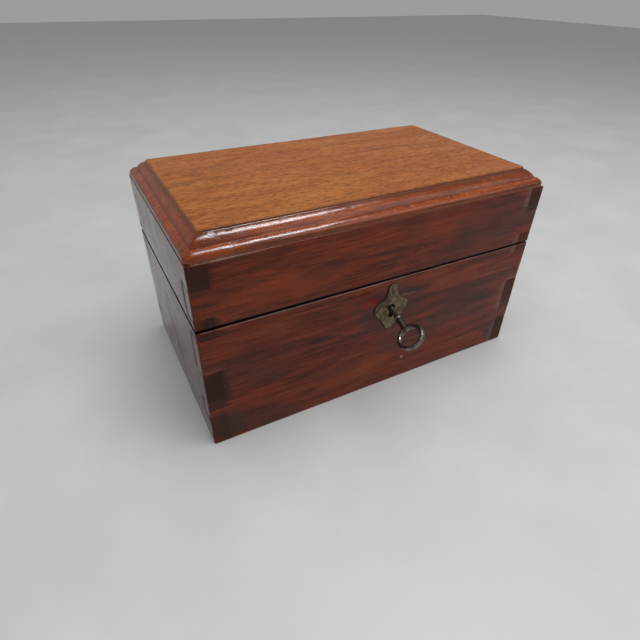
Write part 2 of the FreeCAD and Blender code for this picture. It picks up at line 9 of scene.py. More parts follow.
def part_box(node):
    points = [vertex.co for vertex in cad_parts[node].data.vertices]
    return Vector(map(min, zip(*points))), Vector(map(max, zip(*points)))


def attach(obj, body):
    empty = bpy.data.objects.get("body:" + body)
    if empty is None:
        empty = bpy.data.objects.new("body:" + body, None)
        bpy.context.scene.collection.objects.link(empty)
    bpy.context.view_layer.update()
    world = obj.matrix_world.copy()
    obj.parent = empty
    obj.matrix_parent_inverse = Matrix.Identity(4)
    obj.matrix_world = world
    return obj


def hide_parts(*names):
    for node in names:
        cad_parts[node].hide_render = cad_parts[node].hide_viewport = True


# A worn two-compartment mahogany tea caddy: the looks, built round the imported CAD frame.
# Metres, the CAD frame: +Z up, the lock on the -Y face, origin at the middle of the underside.

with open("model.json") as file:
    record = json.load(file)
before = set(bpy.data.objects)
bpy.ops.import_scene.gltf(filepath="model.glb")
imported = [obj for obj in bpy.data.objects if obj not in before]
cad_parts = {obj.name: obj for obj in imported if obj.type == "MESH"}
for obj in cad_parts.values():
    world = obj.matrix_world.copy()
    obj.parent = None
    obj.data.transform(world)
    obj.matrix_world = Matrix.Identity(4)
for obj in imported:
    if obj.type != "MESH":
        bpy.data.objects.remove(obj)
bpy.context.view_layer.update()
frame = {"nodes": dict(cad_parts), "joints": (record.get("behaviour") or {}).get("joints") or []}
MM = 0.001

# ---- places taken from the frame -----------------------------------------------------------

carcass_low, carcass_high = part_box("body_front_board")
HALF_W = carcass_high.x
HALF_D = -carcass_low.y
RIM_Z = carcass_high.z
LID_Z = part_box("lid_front_board")[0].z
SEAM_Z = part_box("lid_front_board")[1].z
TOP_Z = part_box("lid_top_board")[1].z
ESCUTCHEON_LOW, ESCUTCHEON_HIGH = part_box("escutcheon")
LOCK_X = (ESCUTCHEON_LOW.x + ESCUTCHEON_HIGH.x) / 2
KEY_JOINT = next(joint for joint in frame["joints"] if joint["name"] == "key_turn")
KEY_PIVOT = Vector(KEY_JOINT["pos_m"])
KEYHOLE_Z = KEY_PIVOT.z
LID_SLANT = 1.0 * MM         # the lid's sawn edge is this much higher at its left end
LID_PROUD = 0.7 * MM         # the shut lid's front stands out this much at its left end


# ---- camera, light and floor ---------------------------------------------------------------

CAMERA_PLACE = Vector((-131.8, -228.8, 201.0)) * MM
CAMERA_AZIMUTH = math.radians(28.54)
CAMERA_ELEVATION = math.radians(36.04)
CAMERA_ROLL = math.radians(1.03)
CAMERA_LENS = 26.31
SENSOR = 36.0


def add_camera():
    data = bpy.data.cameras.new("camera")
    data.lens = CAMERA_LENS
    data.sensor_width = SENSOR
    data.clip_start = 0.01
    camera = bpy.data.objects.new("camera", data)
    forward = Vector((math.sin(CAMERA_AZIMUTH) * math.cos(CAMERA_ELEVATION),
                      math.cos(CAMERA_AZIMUTH) * math.cos(CAMERA_ELEVATION),
                      -math.sin(CAMERA_ELEVATION)))
    level = Vector((math.cos(CAMERA_AZIMUTH), -math.sin(CAMERA_AZIMUTH), 0))
    upright = level.cross(forward)
    right = level * math.cos(CAMERA_ROLL) + upright * math.sin(CAMERA_ROLL)
    up = upright * math.cos(CAMERA_ROLL) - level * math.sin(CAMERA_ROLL)
    axes = Matrix((right, up, -forward)).transposed().to_4x4()
    camera.matrix_world = Matrix.Translation(CAMERA_PLACE) @ axes
    bpy.context.scene.collection.objects.link(camera)
    bpy.context.scene.camera = camera


def add_softbox(name, place, aim, size, power, colour, diffuse=True, gloss=True):
    data = bpy.data.lights.new(name, "AREA")
    data.shape = "RECTANGLE"
    data.size, data.size_y = size
    data.energy = power
    data.color = colour
    light = bpy.data.objects.new(name, data)
    light.location = place
    light.rotation_mode = "QUATERNION"
    light.rotation_quaternion = (Vector(aim) - Vector(place)).to_track_quat("-Z", "Y")
    light.visible_diffuse = diffuse
    light.visible_glossy = gloss
    bpy.context.scene.collection.objects.link(light)


def add_world(colour, strength):
    world = bpy.data.worlds.new("studio")
    world.use_nodes = True
    background = world.node_tree.nodes["Background"]
    background.inputs["Color"].default_value = (*colour, 1)
    background.inputs["Strength"].default_value = strength
    bpy.context.scene.world = world


# ---- material graph helpers ----------------------------------------------------------------

def srgb(red, green, blue):
    """0-255 display colour to linear RGBA."""
    def linear(value):
        value /= 255
        return value / 12.92 if value <= 0.04045 else ((value + 0.055) / 1.055) ** 2.4
    return (linear(red), linear(green), linear(blue), 1.0)


class Graph:
    """A material's node tree with short calls for the nodes used here."""

    def __init__(self, name):
        self.material = bpy.data.materials.new(name)
        self.material.use_nodes = True
        self.tree = self.material.node_tree
        self.shader = self.tree.nodes["Principled BSDF"]
        self.places = self.add("ShaderNodeTexCoord")

    def add(self, kind, inputs=None, **settings):
        made = self.tree.nodes.new(kind)
        for setting, value in settings.items():
            setattr(made, setting, value)
        for key, value in (inputs or {}).items():
            if isinstance(value, bpy.types.NodeSocket):
                self.tree.links.new(value, made.inputs[key])
            else:
                made.inputs[key].default_value = value
        return made

    def object_place(self):
        return self.places.outputs["Object"]

    def math(self, operation, first, second=0.0):
        return self.add("ShaderNodeMath", {0: first, 1: second}, operation=operation).outputs[0]

    def vector(self, operation, first, second):
        return self.add("ShaderNodeVectorMath", {0: first, 1: second}, operation=operation).outputs[0]

    def length(self, value):
        return self.add("ShaderNodeVectorMath", {0: value}, operation="LENGTH").outputs["Value"]

    def between(self, value, low, high, out_low=0.0, out_high=1.0):
        made = self.add("ShaderNodeMapRange", {"Value": value, "From Min": low, "From Max": high,
                                               "To Min": out_low, "To Max": out_high})
        made.interpolation_type = "SMOOTHSTEP"
        return made.outputs[0]

    def noise(self, place, scale, detail=4.0, rough=0.5, twist=0.0):
        made = self.add("ShaderNodeTexNoise", {"Vector": place, "Scale": scale, "Detail": detail,
                                               "Roughness": rough, "Distortion": twist})
        return made.outputs["Fac"]

    def cells(self, place, scale):
        return self.add("ShaderNodeTexVoronoi", {"Vector": place, "Scale": scale}).outputs["Distance"]

    def ramp(self, value, stops):
        made = self.add("ShaderNodeValToRGB", {"Fac": value})
        elements = made.color_ramp.elements
        for index, (at, colour) in enumerate(stops):
            element = elements[index] if index < 2 else elements.new(at)
            element.position = at
            element.color = colour
        return made.outputs["Color"]

    def mix(self, amount, first, second, blend="MIX"):
        made = self.add("ShaderNodeMix", data_type="RGBA", blend_type=blend)
        for key, value in ((0, amount), (6, first), (7, second)):
            if isinstance(value, bpy.types.NodeSocket):
                self.tree.links.new(value, made.inputs[key])
            else:
                made.inputs[key].default_value = value
        return made.outputs[2]

    def blot(self, centre, radii, ragged):
        """1 inside an ellipsoid with a ragged edge, 0 outside."""
        away = self.vector("SUBTRACT", self.object_place(), centre)
        scaled = self.vector("DIVIDE", away, radii)
        distance = self.math("ADD", self.length(scaled), ragged)
        return self.between(distance, 0.75, 1.45, 1.0, 0.0)

    def bump(self, height, depth, strength=1.0, normal=None):
        inputs = {"Height": height, "Distance": depth, "Strength": strength}
        if normal is not None:
            inputs["Normal"] = normal
        return self.add("ShaderNodeBump", inputs).outputs[0]

    def finish(self, linked=None, **uniform):
        """Linked sockets by name, then plain numbers set on the shader's own sockets."""
        for key, value in (linked or {}).items():
            self.tree.links.new(value, self.shader.inputs[key])
        for key, value in uniform.items():
            self.shader.inputs[key.replace("_", " ")].default_value = value
        return self.material


# ---- wood ----------------------------------------------------------------------------------

# Painted shade: the near-black of the shadowed gap between lid and body.
PARTING_GAP_SHADE = srgb(34, 19, 15)
BLACK_TO_WHITE = [(0.0, (0, 0, 0, 1)), (1.0, (1, 1, 1, 1))]
STREAK_CONTRAST = 0.42
PORE_STRENGTH = 0.5


def along_grain(graph, axis, stretch):
    """Object coordinates squeezed along the grain, so that noise draws out into streaks."""
    scale = [1.0, 1.0, 1.0]
    scale[axis] = 1.0 / stretch
    return graph.vector("MULTIPLY", graph.object_place(), tuple(scale))


def wood(name, axis, light, middle, dark, red, end_colour, face_marks=(), polish=0.26, gloss=0.25,
         ripple_depth=0.06, end_polish=0.5, end_gloss=0.15):
    graph = Graph(name)
    wavy = graph.noise(graph.object_place(), 9.0, 2.0)
    place = along_grain(graph, axis, 11.0)
    broad = graph.noise(place, 230.0, 6.0, 0.66, 0.4)
    fine = graph.noise(along_grain(graph, axis, 18.0), 1000.0, 3.0, 0.65)
    pores = graph.noise(along_grain(graph, axis, 9.0), 2000.0, 2.0, 0.6)
    patch = graph.noise(along_grain(graph, axis, 2.6), 95.0, 4.0, 0.6)

    colour = graph.ramp(broad, [(0.34, dark), (0.62, light), (0.48, middle)])
    colour = graph.mix(graph.between(patch, 0.44, 0.66, 0.0, 0.6), colour, red)
    streak = graph.between(fine, 0.35, 0.62, 1.0 - STREAK_CONTRAST, 1.0)
    colour = graph.mix(1.0, colour, graph.ramp(streak, BLACK_TO_WHITE), "MULTIPLY")
    pore = graph.between(pores, 0.60, 0.70)
    colour = graph.mix(graph.math("MULTIPLY", pore, PORE_STRENGTH), colour, dark)

    facing = graph.add("ShaderNodeSeparateXYZ", {0: graph.places.outputs["Normal"]}).outputs[axis]
    end_face = graph.between(graph.math("ABSOLUTE", facing), 0.75, 0.93)
    speck = graph.between(graph.cells(graph.object_place(), 1500.0), 0.15, 0.5)
    end_wood = graph.mix(graph.math("MULTIPLY", speck, 0.7), dark, end_colour)
    colour = graph.mix(end_face, colour, end_wood)

    parts = graph.add("ShaderNodeSeparateXYZ", {0: graph.object_place()}).outputs
    upright = graph.add("ShaderNodeSeparateXYZ", {0: graph.places.outputs["Normal"]}).outputs[2]
    # Painted shade of the parting gap: the rim's top face and a strip along the lid's sawn edge are darkened
    # to near black.
    from_rim = graph.math("ABSOLUTE", graph.math("SUBTRACT", parts[2], RIM_Z))
    rim_gap_shade = graph.math("MULTIPLY", graph.between(upright, 0.7, 0.95),
                        graph.between(from_rim, 0.1 * MM, 0.4 * MM, 0.8, 0.0))
    slope = graph.math("MULTIPLY", parts[0], LID_SLANT / (2 * HALF_W))
    from_edge = graph.math("SUBTRACT", graph.math("ADD", parts[2], slope), LID_Z + LID_SLANT / 2)
    lid_edge_gap_shade = graph.between(graph.math("ABSOLUTE", from_edge), 0.4 * MM, 0.95 * MM, 0.88, 0.0)
    colour = graph.mix(graph.math("MAXIMUM", rim_gap_shade, lid_edge_gap_shade), colour, PARTING_GAP_SHADE)
    # Stains on the face, among them pale lines that are painted highlights.
    for centre, radii, strength, tint, raggedness, grit in face_marks:
        grain = graph.noise(along_grain(graph, axis, 4.0), grit, 4.0, 0.65)
        ragged = graph.math("MULTIPLY", graph.math("SUBTRACT", grain, 0.5), raggedness)
        blot = graph.math("MULTIPLY", graph.blot(centre, radii, ragged), strength)
        colour = graph.mix(blot, colour, tint)

    rough = graph.between(graph.noise(graph.object_place(), 55.0, 5.0, 0.65), 0.3, 0.75,
                          polish - 0.07, polish + 0.12)
    rough = graph.math("ADD", rough, graph.math("MULTIPLY", pore, 0.2))
    rough = graph.math("ADD", rough, graph.math("MULTIPLY", end_face, end_polish - polish))
    shine = graph.between(end_face, 0.0, 1.0, gloss, end_gloss)
    relief = graph.math("SUBTRACT", graph.math("MULTIPLY", fine, 0.35), pore)
    normal = graph.bump(relief, 0.05 * MM, 0.5)
    ripple = graph.noise(along_grain(graph, axis, 5.0), 120.0, 2.0)
    normal = graph.bump(graph.math("ADD", ripple, wavy), ripple_depth * MM, 0.35, normal)
    return graph.finish({"Base Color": colour, "Roughness": rough, "Normal": normal,
                         "Specular IOR Level": shine})


def face_mark(x, z, across, high, strength, tint, deep=9.0, raggedness=1.5, grit=70.0):
    """A stain, or a painted highlight line, on the front face, placed in millimetres."""
    return (Vector((x, -HALF_D / MM, z)) * MM, Vector((across, deep, high)) * MM, strength, tint,
            raggedness, grit)


DARK_STAIN = srgb(46, 30, 24)
GREY_STAIN = srgb(56, 42, 38)
# Pale colour for worn spots, also laid on as painted highlights along arrises.
PALE_WEAR_AND_GLINT = srgb(146, 120, 108)
RED_WOOD = srgb(124, 28, 16)
ORANGE_WOOD = srgb(150, 68, 30)
FRONT_FACE_MARKS = (
    face_mark(-98, 101, 6.5, 7, 0.72, DARK_STAIN, 9.0, 1.6, 190.0),
    face_mark(-95, 78, 3.6, 2.6, 0.75, DARK_STAIN, 9.0, 1.2, 190.0),
    face_mark(-96, 71, 7, 2.2, 0.6, DARK_STAIN, 9.0, 1.6, 190.0),
    face_mark(-97, 38, 6.5, 10, 0.78, DARK_STAIN, 9.0, 1.8, 190.0),
    face_mark(-97, 25.5, 6, 1.2, 0.8, DARK_STAIN, 9.0, 1.4, 190.0),
    face_mark(-94, 11, 9, 9, 0.75, GREY_STAIN, 9.0, 2.2, 190.0),
    face_mark(-74, 6, 22, 5, 0.45, GREY_STAIN, 9.0, 2.4, 120.0),
    face_mark(4, 56, 20, 13, 0.55, GREY_STAIN),
    face_mark(-72, 46, 22, 12, 0.4, DARK_STAIN, 9.0, 2.6, 120.0),
    face_mark(-18, 18, 22, 9, 0.35, ORANGE_WOOD, 9.0, 2.6, 120.0),
    face_mark(-10, 62, 5, 3.0, 0.7, RED_WOOD, 9.0, 2.4, 160.0),
    face_mark(48, 62, 18, 5, 0.3, ORANGE_WOOD, 9.0, 2.6, 120.0),
    face_mark(-55, 88, 26, 7, 0.35, ORANGE_WOOD, 9.0, 2.6, 120.0),
    face_mark(30, 98, 34, 5, 0.2, ORANGE_WOOD, 9.0, 2.6, 120.0),
    face_mark(-40, 90, 12, 4, 0.4, DARK_STAIN),
    face_mark(40, 84, 16, 4, 0.35, DARK_STAIN),
    face_mark(-30, 22, 15, 4, 0.35, DARK_STAIN),
    face_mark(60, 44, 22, 12, 0.4, GREY_STAIN),
    face_mark(97, 100, 5, 7, 0.5, DARK_STAIN, 9.0, 1.8, 190.0),
    face_mark(97, 40, 5, 7, 0.35, DARK_STAIN, 9.0, 1.8, 190.0),
    face_mark(96, 10, 8, 9, 0.6, DARK_STAIN, 9.0, 1.8, 190.0),
    # Painted highlights, partly wear: a thin pale line along the rim's arris under the lid, and one along
    # the seam under the moulding's nose.
    face_mark(-40, 73.4, 70, 0.32, 0.6, PALE_WEAR_AND_GLINT, 0.5, 3.0, 300.0),
    face_mark(40, 73.4, 55, 0.25, 0.35, PALE_WEAR_AND_GLINT, 0.5, 3.0, 300.0),
    face_mark(-84, 107.9, 15, 0.4, 0.7, PALE_WEAR_AND_GLINT, 1.0, 1.4, 240.0),
    face_mark(70, 92, 30, 12, 0.35, GREY_STAIN),
    face_mark(20, 30, 24, 7, 0.3, GREY_STAIN),
    face_mark(14.5, 61.5, 5.5, 0.3, 0.5, PALE_WEAR_AND_GLINT, 2.0, 1.0, 300.0),
    face_mark(16.8, 15.4, 0.9, 0.8, 0.9, srgb(190, 140, 120), 2.0, 0.3, 300.0),
)


def front_and_back_wood():
    return wood("long_board_polish", 0, srgb(122, 56, 31), srgb(102, 43, 25), srgb(66, 31, 21),
                srgb(130, 48, 22), srgb(96, 46, 28), FRONT_FACE_MARKS, 0.3, 0.2,
                end_polish=0.12, end_gloss=0.2)


def side_wood():
    return wood("side_board_polish", 1, srgb(92, 46, 25), srgb(78, 37, 20), srgb(56, 28, 17),
                srgb(100, 44, 21), srgb(98, 47, 29), FRONT_FACE_MARKS, 0.12, 0.14, ripple_depth=0.02,
                end_polish=0.4, end_gloss=0.1)


# Dark bands along the top board: inward from the carcass face, half width (millimetres), strength. On the
# moulding: darker at the foot of the nose and along the crease below the slope, and painted shade on the
# slope beside the panel. On the panel: dirt along its edge.
MOULDING_DARK_BANDS = ((0.2, 0.9, 0.45), (4.4, 0.9, 0.2), (9.0, 2.6, 0.6))
PANEL_DIRT = ((9.3, 1.2, 0.35),)
# Old knocks on the front moulding: along X, inward, half length, half width (millimetres).
MOULDING_NICKS = ((-80.5, 7.8, 1.5, 0.7), (-87.5, 6.8, 1.6, 0.8), (-77.8, 2.8, 1.8, 0.5),
                  (-75.2, 3.1, 0.6, 0.5), (-81.5, 2.2, 0.8, 0.45), (-66, 2.6, 0.7, 0.5),
                  (-57, 7.4, 0.9, 0.4), (-41, 3.0, 1.0, 0.5), (-22, 6.8, 1.2, 0.4),
                  (9, 2.4, 0.8, 0.4), (37, 3.2, 1.2, 0.5), (66, 7.0, 1.0, 0.5))
NICK_COLOUR = srgb(62, 46, 40)
NOSE_WEAR = srgb(196, 138, 84)
NOSE_CREST = 2.6 * MM        # inward from the carcass face, where the nose's polish has worn off


def nick_mask(graph):
    """1 in the old knocks on the front moulding."""
    ragged = graph.math("SUBTRACT", graph.noise(graph.object_place(), 700.0, 3.0), 0.5)
    mask = 0.0
    for x, inward, half_x, half_y in MOULDING_NICKS:
        centre = Vector((x, inward - HALF_D / MM, SEAM_Z / MM + 5.5)) * MM
        blot = graph.blot(centre, Vector((half_x, half_y, 30.0)) * MM, ragged)
        mask = graph.math("MAXIMUM", mask, blot)
    return mask


def nose_mask(graph, inward, y):
    """Where the polish has worn off the front nose, in spots."""
    worn = graph.noise(along_grain(graph, 0, 1.6), 520.0, 3.0, 0.6)
    from_crest = graph.math("ABSOLUTE", graph.math("SUBTRACT", inward, NOSE_CREST))
    on_nose = graph.between(from_crest, 0.5 * MM, 1.3 * MM, 1.0, 0.0)
    at_front = graph.between(y, 4 * MM - HALF_D, 5 * MM - HALF_D, 1.0, 0.0)
    on_nose = graph.math("MULTIPLY", on_nose, at_front)
    return graph.math("MULTIPLY", on_nose, graph.between(worn, 0.5, 0.8, 0.0, 0.35))


def top_wood(name, inner, light, middle, dark, red, rough_range, gloss, coat):
    """The top board: a faded flat panel (inner) or the redder, glossier moulding round it."""
    graph = Graph(name)
    place = along_grain(graph, 0, 9.0)
    broad = graph.noise(place, 150.0, 7.0, 0.7, 0.4)
    fine = graph.noise(along_grain(graph, 0, 9.0), 900.0, 3.0, 0.65)
    pores = graph.noise(along_grain(graph, 0, 3.6), 1150.0, 2.0, 0.6)
    patch = graph.noise(along_grain(graph, 0, 2.5), 30.0, 4.0, 0.6)
    colour = graph.ramp(broad, [(0.36, dark), (0.64, light), (0.50, middle)])
    colour = graph.mix(graph.between(patch, 0.42, 0.7, 0.0, 0.5), colour, red)
    parts = graph.add("ShaderNodeSeparateXYZ", {0: graph.object_place()}).outputs
    in_x = graph.math("SUBTRACT", HALF_W, graph.math("ABSOLUTE", parts[0]))
    proud = graph.math("SUBTRACT", LID_PROUD / 2, graph.math("MULTIPLY", parts[0], LID_PROUD / (2 * HALF_W)))
    from_front = graph.math("ADD", graph.math("ADD", parts[1], HALF_D), proud)
    in_y = graph.math("MINIMUM", from_front, graph.math("SUBTRACT", HALF_D, parts[1]))
    inward = graph.math("MINIMUM", in_x, in_y)
    streak = graph.between(fine, 0.34, 0.62, 0.70, 1.0)
    colour = graph.mix(1.0, colour, graph.ramp(streak, BLACK_TO_WHITE), "MULTIPLY")
    pore = graph.between(pores, 0.54, 0.64)
    colour = graph.mix(graph.math("MULTIPLY", pore, 0.62), colour, srgb(100, 50, 26))
    pale = graph.between(pores, 0.36, 0.45, 0.4, 0.0)
    colour = graph.mix(pale, colour, light)
    stain = graph.noise(graph.object_place(), 70.0, 5.0, 0.7)
    colour = graph.mix(graph.between(stain, 0.58, 0.76, 0.0, 0.5), colour, srgb(98, 50, 30))
    # On the moulding: painted shade on the slope beside the panel, and darker colour at the nose's foot and
    # along the crease. On the panel: dirt along its edge.
    for at, half, strength in PANEL_DIRT if inner else MOULDING_DARK_BANDS:
        off = graph.math("ABSOLUTE", graph.math("SUBTRACT", inward, at * MM))
        dark_band = graph.between(off, 0.25 * half * MM, half * MM, strength, 0.0)
        colour = graph.mix(dark_band, colour, srgb(70, 38, 22))
    relief = graph.math("SUBTRACT", graph.math("MULTIPLY", fine, 0.4), pore)
    if not inner:
        nick = nick_mask(graph)
        colour = graph.mix(graph.math("MULTIPLY", nick, 0.75), colour, NICK_COLOUR)
        colour = graph.mix(nose_mask(graph, inward, parts[1]), colour, NOSE_WEAR)
        relief = graph.math("SUBTRACT", relief, graph.math("MULTIPLY", nick, 5.0))
    rough = graph.between(graph.noise(graph.object_place(), 60.0, 5.0, 0.65), 0.3, 0.75, *rough_range)
    normal = graph.bump(relief, 0.05 * MM, 0.5)
    ripple = graph.noise(along_grain(graph, 0, 5.0), 110.0, 2.0)
    normal = graph.bump(ripple, 0.1 * MM, 0.3, normal)
    return graph.finish({"Base Color": colour, "Roughness": rough, "Normal": normal},
                        Coat_Weight=coat, Coat_Roughness=0.12, Specular_IOR_Level=gloss)


def seam_dirt():
    graph = Graph("seam_dirt")
    grain = graph.noise(graph.object_place(), 900.0, 3.0)
    colour = graph.ramp(grain, [(0.3, srgb(14, 9, 8)), (0.7, srgb(44, 24, 18))])
    rough = graph.between(grain, 0.3, 0.7, 0.7, 0.95)
    return graph.finish({"Base Color": colour, "Roughness": rough,
                         "Normal": graph.bump(grain, 0.05 * MM, 0.6)})


# ---- metal, foil, velvet -------------------------------------------------------------------

def metal(name, bright, dull, stain, scale=420.0, rough=(0.28, 0.6), tarnish=(0.42, 0.62)):
    graph = Graph(name)
    cloud = graph.noise(graph.object_place(), scale, 5.0, 0.65)
    grit = graph.noise(graph.object_place(), scale * 6, 3.0, 0.6)
    colour = graph.mix(graph.between(cloud, *tarnish), bright, dull)
    spots = graph.between(graph.noise(graph.object_place(), scale * 2.3, 4.0, 0.7), 0.55, 0.7)
    colour = graph.mix(graph.math("MULTIPLY", spots, 0.8), colour, stain)
    roughness = graph.between(cloud, 0.3, 0.7, *rough)
    normal = graph.bump(graph.math("ADD", grit, cloud), 0.04 * MM, 0.5)
    return graph.finish({"Base Color": colour, "Roughness": roughness, "Normal": normal}, Metallic=1.0)


def foil():
    graph = Graph("dull_foil")
    crease = graph.cells(graph.object_place(), 130.0)
    crumple = graph.noise(graph.object_place(), 240.0, 5.0, 0.6, 0.8)
    colour = graph.ramp(crumple, [(0.3, srgb(120, 120, 118)), (0.7, srgb(176, 176, 172))])
    height = graph.math("ADD", graph.math("MULTIPLY", crease, 1.4), crumple)
    return graph.finish({"Base Color": colour, "Roughness": graph.between(crumple, 0.3, 0.7, 0.3, 0.55),
                         "Normal": graph.bump(height, 0.8 * MM, 0.6)}, Metallic=0.9)


def velvet():
    graph = Graph("worn_velvet")
    pile = graph.noise(graph.object_place(), 2600.0, 2.0, 0.6)
    nap = graph.noise(along_grain(graph, 1, 3.0), 60.0, 4.0, 0.6)
    colour = graph.ramp(nap, [(0.3, srgb(70, 22, 28)), (0.55, srgb(98, 34, 38)), (0.75, srgb(120, 54, 52))])
    colour = graph.mix(graph.between(pile, 0.35, 0.7, 0.0, 0.5), colour, srgb(48, 14, 20))
    return graph.finish({"Base Color": colour, "Normal": graph.bump(pile, 0.25 * MM, 0.8)},
                        Roughness=0.9, Sheen_Weight=0.7, Sheen_Roughness=0.4)


def paint_floor():
    graph = Graph("pale_floor")
    cloud = graph.noise(graph.object_place(), 14.0, 6.0, 0.6)
    colour = graph.ramp(cloud, [(0.3, srgb(196, 199, 201)), (0.7, srgb(206, 209, 211))])
    rough = graph.between(cloud, 0.3, 0.7, 0.45, 0.6)
    return graph.finish({"Base Color": colour, "Roughness": rough})


# ---- mesh helpers --------------------------------------------------------------------------

def clean_copy(node):
    """A CAD node's mesh with its flat faces whole again."""
    mesh = bmesh.new()
    mesh.from_mesh(frame["nodes"][node].data)
    bmesh.ops.remove_doubles(mesh, verts=mesh.verts, dist=0.002 * MM)
    bmesh.ops.dissolve_limit(mesh, angle_limit=math.radians(0.5), verts=mesh.verts, edges=mesh.edges,
                             delimit=set())
    return mesh


def slice_up(mesh, axis, places):
    normal = Vector((0, 0, 0))
    normal[axis] = 1.0
    for place in places:
        everything = list(mesh.verts) + list(mesh.edges) + list(mesh.faces)
        bmesh.ops.bisect_plane(mesh, geom=everything, dist=0.001 * MM, plane_co=normal * place,
                               plane_no=normal)


def to_object(name, mesh, materials, smooth_angle=38.0):
    data = bpy.data.meshes.new(name)
    bmesh.ops.recalc_face_normals(mesh, faces=mesh.faces)
    mesh.to_mesh(data)
    mesh.free()
    for polygon in data.polygons:
        polygon.use_smooth = True
    data.set_sharp_from_angle(angle=math.radians(smooth_angle))
    for material in materials:
        data.materials.append(material)
    made = bpy.data.objects.new(name, data)
    bpy.context.scene.collection.objects.link(made)
    return made


def stand_for(made, body, slot, *nodes):
    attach(made, body)
    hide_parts(*nodes)


# ---- carcass boards: CAD copies with worn arrises -------------------------------------------

NEAR_EDGE = tuple(step * MM for step in (0.12, 0.3, 0.55, 0.85, 1.2, 1.7))
GRID = 7.0 * MM
SEAM_BEVEL = 0.09 * MM
TOUCHING = 0.01 * MM
NEAR_END = 1.1 * MM          # a little more than the lid's slant
UPRIGHT_ARRIS, LOW_ARRIS, HIGH_ARRIS = 0.95 * MM, 0.5 * MM, 0.42 * MM
UPPER_LID = 25 * MM          # this far down from the lid's top, nothing is part of its sawn edge


def wear(place, base, spread, seed):
    """An arris radius that wanders along the edge."""
    wander = noise.noise(place * 60.0 + Vector((seed, 0, 0)))
    nick = max(0.0, noise.noise(place * 330.0 + Vector((0, seed, 0))) - 0.25)
    return base * (1.0 + spread * wander) + base * 2.2 * nick * spread


def rounded(first, second, radius):
    """Two depths behind two square faces, moved onto an arc of that radius."""
    if first >= radius or second >= radius:
        return first, second
    a, b = radius - first, radius - second
    pull = max(a, b) / math.hypot(a, b)
    return radius - a * pull, radius - b * pull


def soften_carcass(place, low, high, vertical, low_edge, high_edge, seed):
    """Rounds the twelve outer arrises of a box of carcass boards."""
    x_side = math.copysign(1, place.x)
    y_side = math.copysign(1, place.y)
    x_in = HALF_W - abs(place.x)
    y_in = HALF_D - abs(place.y)
    low_in = place.z - low
    high_in = high - place.z
    x_in, y_in = rounded(x_in, y_in, wear(place, vertical, 0.5, seed))
    if low_in < high_in:
        radius = wear(place, low_edge, 0.55, seed + 3)
        x_in, low_in = rounded(x_in, low_in, radius)
        y_in, low_in = rounded(y_in, low_in, radius)
        height = low + low_in
    else:
        radius = wear(place, high_edge, 0.55, seed + 5) + rim_chips(place, high)
        x_in, high_in = rounded(x_in, high_in, radius)
        y_in, high_in = rounded(y_in, high_in, radius)
        height = high - high_in
    return Vector((x_side * (HALF_W - x_in), y_side * (HALF_D - y_in), height))


CHIPS_FROM = -22.0 * MM
CHIPS_TO = 19.0 * MM


def rim_chips(place, high):
    """The front rim beside the lock has lost its arris."""
    if high != RIM_Z or place.y > 0 or not CHIPS_FROM < place.x < CHIPS_TO:
        return 0.0
    jag = 0.5 + 0.5 * noise.noise(Vector((place.x * 260.0, 3.1, 0)))
    return 1.0 * MM * jag


def is_outer(vertex):
    co = vertex.co
    return HALF_W - abs(co.x) < TOUCHING or HALF_D - abs(co.y) < TOUCHING


def is_arris(edge, low, high):
    """An edge of the outer box itself, as against a joint line in one of its faces."""
    first, second = (vertex.co for vertex in edge.verts)
    on_x = all(HALF_W - abs(co.x) < TOUCHING for co in (first, second))
    on_y = all(HALF_D - abs(co.y) < TOUCHING for co in (first, second))
    on_end = all(abs(co.z - low) < NEAR_END or abs(co.z - high) < NEAR_END for co in (first, second))
    return (on_x and on_y) or on_end


def open_joint_lines(mesh, low, high):
    """Chamfers the joint edges that show outside, and marks the chamfers as dirt."""
    lines = [edge for edge in mesh.edges
             if len(edge.link_faces) == 2 and edge.calc_face_angle(0.0) > 0.5
             and all(is_outer(vertex) for vertex in edge.verts) and not is_arris(edge, low, high)]
    made = bmesh.ops.bevel(mesh, geom=lines, offset=SEAM_BEVEL, segments=1, affect="EDGES",
                           offset_type="OFFSET", clamp_overlap=True)
    for face in made["faces"]:
        face.material_index = 1


def edge_places(low, high):
    """Where a board is cut across: an even grid, and closer cuts near both ends."""
    count = max(1, round((high - low) / GRID))
    places = [low + (high - low) * step / count for step in range(1, count)]
    for near in NEAR_EDGE:
        places += [low + near, high - near]
    return places


def lid_edge(x):
    """Height of the lid's sawn edge, which runs a little out of true."""
    right = LID_Z
    left = LID_Z + LID_SLANT
    return left + (right - left) * (x + HALF_W) / (2 * HALF_W)


def proud_of_carcass(co):
    """How far the lid is brought forward here: most at the front left, nothing at the back."""
    if co.y >= 0:
        return 0.0
    return LID_PROUD * (0.5 - co.x / (2 * HALF_W)) * min(1.0, -co.y / HALF_D)


def carcass_board(node, body, polish, low, high, seed):
    mesh = clean_copy(node)
    open_joint_lines(mesh, low, high)
    box_low, box_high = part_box(node)
    slice_up(mesh, 0, edge_places(box_low.x, box_high.x))
    slice_up(mesh, 1, edge_places(box_low.y, box_high.y))
    slice_up(mesh, 2, edge_places(low, high))
    is_lid = body == "lid"
    for vertex in mesh.verts:
        co = vertex.co
        on_slant = is_lid and co.z < high - UPPER_LID and abs(co.z - lid_edge(co.x)) < 2 * TOUCHING
        start = lid_edge(co.x) if is_lid else low
        moved = soften_carcass(co, start, high, UPRIGHT_ARRIS, LOW_ARRIS, HIGH_ARRIS, seed)
        vertex.co = moved if not on_slant or is_outer(vertex) else co
        if is_lid:
            vertex.co.y -= proud_of_carcass(co)
    made = to_object(node + "_wood", mesh, [polish, DIRT])
    stand_for(made, body, "mahogany", node)


# ---- moulded top board ---------------------------------------------------------------------

